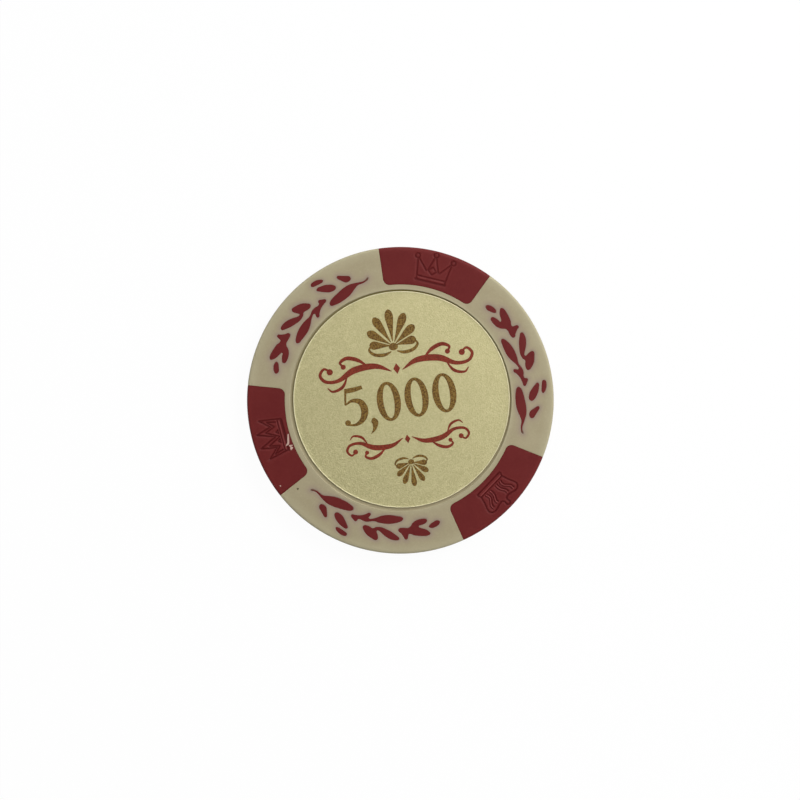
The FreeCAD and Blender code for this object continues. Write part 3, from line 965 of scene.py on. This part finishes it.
# The printing on each label: a number between mirrored scrolls and fans of petals, drawn about the label's
# middle and then turned. Places and widths are in millimetres before size makes them larger. A petal is its
# lean in degrees and its length, and the shape of all is places along them and shares of their width there.
printing = {
    "turn": math.radians(8.5),
    "size": 1.2,
    "inkHeight": 0.012,
    "inkRoot": 0.01,
    "netGap": 0.5,
    "brownInk": (colour(130, 101, 46), colour(80, 54, 16)),
    "redInk": (colour(130, 48, 30), colour(96, 32, 16)),
    "fivePlace": -5.15,
    "commaPlace": -3.3,
    "zeroPlaces": (-1.4, 1.65, 4.7),
    "zeroSizes": ((1.3, 2.15), (0.58, 1.82)),  # outside and hole
    "fanHeight": 5.9,
    "lowerFan": (0.66, -6.9),  # size and height, as is the next
    "lowerScroll": (0.8, -1.6),
    "petals": ((0, 4.0), (27, 3.75), (-27, 3.75), (54, 3.2), (-54, 3.2), (81, 2.6), (-81, 2.6)),
    "petalWidth": 0.46,
    "petalShape": ((0.12, 0.1), (0.35, 0.38), (0.62, 0.8), (0.82, 1.0), (0.95, 0.62), (1.0, 0.08)),
}


# The outline of a pen's stroke: to both sides of a smooth curve, by the half-width given at each point
def penStroke(*stations, steps=8):
    curve = curveThrough(stations, steps)
    side = curve[:, 2:] * leftNormals(curve[:, :2])
    return np.vstack([curve[:, :2] - side, (curve[:, :2] + side)[::-1]])


# An ellipse: half its width times the cosine and half its height times the sine, counter-clockwise
def ellipse(x, y, halfWidth, halfHeight, count=64):
    turns = evenTurns(count)
    return np.column_stack([x + halfWidth * np.cos(turns), y + halfHeight * np.sin(turns)])


# Outlines, and the same turned over left to right and run the other way, so that they stay counter-clockwise
def bothSides(outlines):
    return outlines + [(outline * [-1, 1])[::-1] for outline in outlines]


# Outlines moved by so much across and up
def moved(outlines, across, up=0):
    return [outline + [across, up] for outline in outlines]


# Outlines turned half round, made smaller and moved up or down
def hang(outlines, size, drop):
    return [-outline * size + [0, drop] for outline in outlines]


five = [
    penStroke((-0.75, 1.8, 0.26), (0.2, 1.84, 0.26), (1.1, 1.98, 0.2)),
    penStroke((-0.72, 2.04, 0.13), (-0.84, 1.2, 0.12), (-0.97, 0.3, 0.1)),
    penStroke((-1.0, 0.28, 0.06), (-0.2, 0.66, 0.18), (0.68, 0.4, 0.32), (1.02, -0.5, 0.4),
              (0.7, -1.45, 0.31), (-0.1, -1.95, 0.17), (-0.98, -1.88, 0.08)),
    ellipse(-0.98, -1.65, 0.32, 0.32, 24),
]
comma = [penStroke((0.0, -1.5, 0.1), (0.02, -1.8, 0.34), (0.1, -2.15, 0.32), (-0.1, -2.75, 0.17),
                   (-0.52, -3.2, 0.03))]
zeros, zeroHoles = ([ellipse(x, 0, *size) for x in printing["zeroPlaces"]] for size in printing["zeroSizes"])
numberOutlines = moved(five, printing["fivePlace"]) + moved(comma, printing["commaPlace"]) + zeros


# A round-ended petal that leaves the middle at a lean from upright: a stroke along it that widens and closes
def petal(lean, length):
    along = polar(1.0, quarterTurn + math.radians(lean))
    return penStroke(*[(*(share * length * along), printing["petalWidth"] * part)
                       for share, part in printing["petalShape"]])


fan = [petal(lean, length) for lean, length in printing["petals"]]
fan += [ellipse(0, -0.1, 0.5, 0.42, 32)]
fan += bothSides([penStroke((0.3, -0.6, 0.06), (1.1, -0.85, 0.18), (2.1, -0.7, 0.18), (2.65, -0.15, 0.13),
                            (2.35, 0.35, 0.09))])
scroll = bothSides([
    penStroke((0.6, 3.2, 0.05), (2.3, 4.0, 0.3), (4.6, 3.9, 0.36), (6.4, 3.05, 0.22), (7.8, 3.1, 0.18),
              (8.35, 3.85, 0.17), (7.85, 4.5, 0.14), (7.25, 4.2, 0.1)),
    ellipse(7.25, 4.1, 0.34, 0.34, 24),
    penStroke((3.1, 4.15, 0.06), (4.1, 4.95, 0.21), (5.2, 5.3, 0.21), (5.98, 4.95, 0.15), (5.8, 4.5, 0.1)),
    ellipse(5.72, 4.42, 0.28, 0.28, 24),
    penStroke((5.4, 3.4, 0.05), (6.1, 2.3, 0.17), (7.2, 1.95, 0.13), (7.75, 2.4, 0.05)),
])
scroll += [line((0.0, 2.8), (0.38, 3.4), (0.0, 4.0), (-0.38, 3.4))]
brownPrint = numberOutlines + moved(fan, 0, printing["fanHeight"]) + hang(fan, *printing["lowerFan"])
redPrint = scroll + hang(scroll, *printing["lowerScroll"])


# A thin slab over a net of triangles: the net, the same net turned over below it, and a wall at its border
def slab(points, faces, top, bottom):
    count = len(points)
    first, second = borderEdges(faces, count).T
    walls = np.vstack([np.column_stack([first, first + count, second + count]),
                       np.column_stack([first, second + count, second])])
    corners = np.vstack([np.column_stack([points, top]), np.column_stack([points, bottom])])
    plain = np.zeros(2 * count)
    return corners, np.vstack([faces, faces[:, ::-1] + count, walls]), plain, plain


# The net of what lies in the outlines and not in the holes, with a grid of loose points at a gap
def filledNet(outlines, holes, gap):
    corners = np.vstack(outlines)
    low, high = corners.min(axis=0), corners.max(axis=0)
    columns, rows = np.meshgrid(np.arange(low[0], high[0], gap), np.arange(low[1], high[1], gap))
    points, faces, owner = cutNet(outlines + holes, np.column_stack([columns.ravel(), rows.ravel()]))
    plain = np.zeros(len(points))
    return netPart(points, faces[(owner >= 0) & (owner < len(outlines))], plain, plain)[:2]


inkGrain = {
    "mottle": (0.2, 2.0, 0.6),  # size, detail and roughness
    "mottleRange": (0.36, 0.62),
    "roughness": (0.4, 0.55),
    "relief": (0.2, 0.005),  # strength and depth
    "gloss": 0.2,
}


# Printing ink or dirt, mottled between two colours
def inkFinish(name, colours):
    material, tree, shader, coords = newMaterial(name)
    mottle = remap(tree, noise(tree, coords, *inkGrain["mottle"]), *inkGrain["mottleRange"], 0, 1)
    mixed = mixColours(tree, mottle, *colours)
    roughness = remap(tree, mottle, 0, 1, *inkGrain["roughness"])
    dressShader(tree, shader, mixed, roughness, mottle, inkGrain["relief"])
    shader.inputs["Specular IOR Level"].default_value = inkGrain["gloss"]
    return material


# One ink's print on one label, on a film that follows the foil's waves
def makePrint(name, outlines, holes, ink, middle, top, back):
    points, faces = filledNet(outlines, holes, printing["netGap"])
    cosine, sine = printing["size"] * polar(1.0, printing["turn"])
    points = points @ np.array([[cosine, sine], [-sine, cosine]]) + middle
    surface = foilLevel(points, top)
    film = slab(points, faces, surface + printing["inkHeight"], surface - printing["inkRoot"])
    makePiece(name, turned([film]) if back else [film], ink, "foil")


brownInk, redInk = inkFinish("brown_ink", printing["brownInk"]), inkFinish("red_ink", printing["redInk"])
for side, middle, top, back in (("front", frontMiddle, frontTop, False), ("back", backMiddle, backTop, True)):
    makePrint(f"{side}_print_brown", brownPrint, zeroHoles, brownInk, middle, top, back)
    makePrint(f"{side}_print_red", redPrint, [], redInk, middle, top, back)

# Bits of ivory flash that the mould left in the second crown, and a pale and a dark speck on the ring. Each
# bit is a low flake whose outline is a smooth curve, drawn upright over the second spot as its crown is.
flakes = {
    "flash": [
        [(-0.1, 15.35), (-0.17, 15.22), (-0.63, 15.31), (-1.24, 15.47), (-1.43, 15.63), (-1.54, 16.02),
         (-1.39, 15.93), (-1.13, 15.7), (-0.63, 15.56)],
        [(-1.53, 15.58), (-1.61, 15.1), (-1.72, 15.23), (-1.73, 15.37), (-1.95, 15.15), (-2.1, 15.31),
         (-2.2, 15.5), (-2.0, 15.55), (-1.83, 15.48), (-1.7, 15.54)],
    ],
    "flashSteps": 5,
    "paleSpeck": (-15.71, -11.05, 0.09),  # place and size, as is the next
    "darkSpeck": (-13.45, -11.45, 0.14),
    "speckCorners": 20,
    "speckWaves": (0.2, 0.1),
    "netGap": 0.1,
    "top": 0.0005,
    "root": 0.15,
}
flakeFinish = {**ivoryFinish, "colour": colour(192, 168, 154), "cloudColour": colour(168, 132, 120),
               "grainColour": colour(200, 180, 164)}
dirtColours = (colour(96, 84, 60), colour(80, 68, 48))


# Low flakes: slabs from just under the face's level down into it
def makeFlakes(name, outlines, material):
    points, faces = filledNet(outlines, [], flakes["netGap"])
    heights = np.full(len(points), faceHeight)
    flake = slab(points, faces, heights - flakes["top"], heights - flakes["root"])
    makePiece(name, [flake], material, "ivory")


# A speck: a small circle, uneven by a wave that goes three times round it and one that goes five times
def speck(x, y, size):
    turns = evenTurns(flakes["speckCorners"])
    threefold, fivefold = flakes["speckWaves"]
    radii = size * (1 + threefold * np.sin(3 * turns) + fivefold * np.cos(5 * turns))
    return np.array([x, y]) + polar(radii, turns)


flashStrokes = placeCrown([np.array(outline) for outline in flakes["flash"]], spotAngles[1])
flashOutlines = [curveThrough(stroke, flakes["flashSteps"], closed=True)[::-1] for stroke in flashStrokes]
flashPlastic = mouldedPlastic("flash_plastic", flakeFinish)
makeFlakes("ivory_flash", flashOutlines + [speck(*flakes["paleSpeck"])], flashPlastic)
makeFlakes("dark_speck", [speck(*flakes["darkSpeck"])], inkFinish("dirt", dirtColours))

# The slug and the glue films keep their CAD shapes and get finishes
steelFinish = {
    "colour": colour(150, 150, 152),
    "dark": colour(118, 117, 116),
    "roughness": (0.3, 0.5),
    "scratches": (1.2, 4.0, 0.7),  # size, detail and roughness
    "squeeze": (1.0, 12.0, 1.0),
    "relief": (0.3, 0.01),
    "metal": 1.0,
}
glueFinish = {
    "colour": colour(196, 190, 160),
    "dark": colour(178, 170, 138),
    "roughness": (0.3, 0.45),
    "wetting": (1.5, 3.0),
    "relief": (0.2, 0.01),
}


# Colour, roughness and relief that all follow one noise
def followNoise(tree, shader, marks, finish):
    colours = mixColours(tree, marks, finish["dark"], finish["colour"])
    roughness = remap(tree, marks, *noiseRange, *finish["roughness"])
    dressShader(tree, shader, colours, roughness, marks, finish["relief"])


# Tumbled steel: scratches are a noise squeezed along one axis
def tumbledSteel(name, finish):
    material, tree, shader, coords = newMaterial(name)
    squeezed = addNode(tree, "Mapping", {"Vector": coords, "Scale": finish["squeeze"]}).outputs["Vector"]
    followNoise(tree, shader, noise(tree, squeezed, *finish["scratches"]), finish)
    shader.inputs["Metallic"].default_value = finish["metal"]
    return material


# A film of glue, clouded where it wets the label
def glueFilm(name, finish):
    material, tree, shader, coords = newMaterial(name)
    followNoise(tree, shader, noise(tree, coords, *finish["wetting"]), finish)
    return material


# Gives a frame node one material in place of its own
def refinish(node, material):
    materials = frame["nodes"][node].data.materials
    materials.clear()
    materials.append(material)


refinish("steel_slug", tumbledSteel("tumbled_steel", steelFinish))
glue = glueFilm("glue_film", glueFinish)
refinish("front_label_adhesive", glue)
refinish("back_label_adhesive", glue)
print("slug and glue films finished")

# Floor, lights and camera, in metres
studio = {
    "floorSize": 3.0,
    "floorLevel": -0.00001,
    "floorColours": (colour(240, 240, 240), colour(232, 232, 232)),
    "fibres": (1.0, 3.0),  # size and detail
    "floorRoughness": 0.9,
    "floorGloss": 0.1,
    "floorGlow": 0.97,
    "horizonStrength": 0.7,
    "zenithStrength": 0.1,
    "keyPlace": (0.145, 0.1, 0.26),
    "keySize": 0.15,
    "keyPower": 0.72,
    "fillPlace": (0.05, 0.4, 0.45),
    "fillSize": 0.5,
    "fillPower": 1.1,
    "cameraHeight": 0.6,
    "viewWidth": 0.1043,
    "cameraLean": (-0.0291, 0.0093),
    "cameraRoll": math.radians(-0.3),
    "aim": (-0.00006, 0.00004, 0.0026),
    "sensorWidth": 36.0,
    "clipStart": 0.01,
}
whiteLight = {"Color": (1, 1, 1, 1), "Strength": 1.0}


# The greater of two of a ray's marks
def eitherRay(tree, first, second):
    return addNode(tree, "Math", {0: first, 1: second}, operation="MAXIMUM").outputs[0]


# How far a surface is seen as white: its glow for a ray from the camera, a reflection or a clear thing, and
# nought for any other, so that it lights other things and takes shadows as itself
def seenAsWhite(tree, glow):
    rays = addNode(tree, "LightPath").outputs
    seen = eitherRay(tree, rays["Is Camera Ray"], rays["Is Glossy Ray"])
    seen = eitherRay(tree, seen, rays["Is Transmission Ray"])
    return addNode(tree, "Math", {0: seen, 1: glow}, operation="MULTIPLY").outputs[0]


# The floor: a large flat square of plain paper, just under the chip
def makeFloor():
    material, tree, shader, coords = newMaterial("floor_paper")
    paper = mixColours(tree, noise(tree, coords, *studio["fibres"]), *studio["floorColours"])
    tree.links.new(paper, shader.inputs["Base Color"])
    shader.inputs["Roughness"].default_value = studio["floorRoughness"]
    shader.inputs["Specular IOR Level"].default_value = studio["floorGloss"]
    white = addNode(tree, "Emission", whiteLight).outputs[0]
    share = seenAsWhite(tree, studio["floorGlow"])
    mixed = addNode(tree, "MixShader", {0: share, 1: shader.outputs[0], 2: white})
    tree.links.new(mixed.outputs[0], tree.nodes["Material Output"].inputs["Surface"])
    half = studio["floorSize"] / 2
    corners = [(x * half, y * half, studio["floorLevel"]) for x, y in ((-1, -1), (1, -1), (1, 1), (-1, 1))]
    mesh = bpy.data.meshes.new("floor")
    mesh.from_pydata(corners, [], [(0, 1, 2, 3)])
    mesh.materials.append(material)
    floor = bpy.data.objects.new("floor", mesh)
    bpy.context.scene.collection.objects.link(floor)


# The room's light, stronger from the horizon than from above, in proportion to a direction's height
def makeWorld():
    world = bpy.data.worlds.new("studio")
    world.use_nodes = True
    tree = world.node_tree
    height = addNode(tree, "SeparateXYZ", {0: addNode(tree, "TexCoord").outputs["Generated"]}).outputs["Z"]
    strength = remap(tree, height, 0, 1, studio["horizonStrength"], studio["zenithStrength"])
    dim = tree.nodes["Background"]
    dim.inputs["Color"].default_value = whiteLight["Color"]
    tree.links.new(strength, dim.inputs["Strength"])
    white = addNode(tree, "Background", whiteLight).outputs[0]
    seen = addNode(tree, "LightPath").outputs["Is Camera Ray"]
    mixed = addNode(tree, "MixShader", {0: seen, 1: dim.outputs[0], 2: white})
    tree.links.new(mixed.outputs[0], tree.nodes["World Output"].inputs["Surface"])
    bpy.context.scene.world = world


# A round soft lamp, turned to face the chip
def makeSoftLight(name, place, size, power):
    lamp = bpy.data.lights.new(name, "AREA")
    lamp.shape = "DISK"
    lamp.size = size
    lamp.energy = power
    light = bpy.data.objects.new(name, lamp)
    light.location = place
    light.rotation_euler = (-Vector(place)).to_track_quat("-Z", "Y").to_euler()
    bpy.context.scene.collection.objects.link(light)


# The camera looks down at the aim with a small lean and roll. Its lens shows the view's width at its height.
def makeCamera():
    camera = bpy.data.cameras.new("camera")
    camera.sensor_width = studio["sensorWidth"]
    camera.lens = studio["sensorWidth"] * studio["cameraHeight"] / studio["viewWidth"]
    camera.clip_start = studio["clipStart"]
    viewer = bpy.data.objects.new("camera", camera)
    away = Vector((*studio["cameraLean"], 1)).normalized()
    right = Vector((math.cos(studio["cameraRoll"]), math.sin(studio["cameraRoll"]), 0))
    up = away.cross(right).normalized()
    turn = Matrix((up.cross(away), up, away)).transposed().to_4x4()
    viewer.matrix_world = Matrix.Translation(Vector(studio["aim"]) + away * studio["cameraHeight"]) @ turn
    bpy.context.scene.collection.objects.link(viewer)
    bpy.context.scene.camera = viewer


makeFloor()
makeWorld()
makeSoftLight("key_light", studio["keyPlace"], studio["keySize"], studio["keyPower"])
makeSoftLight("fill_light", studio["fillPlace"], studio["fillSize"], studio["fillPower"])
makeCamera()
bpy.context.scene.view_settings.view_transform = "Standard"
print("floor, lights and camera placed")
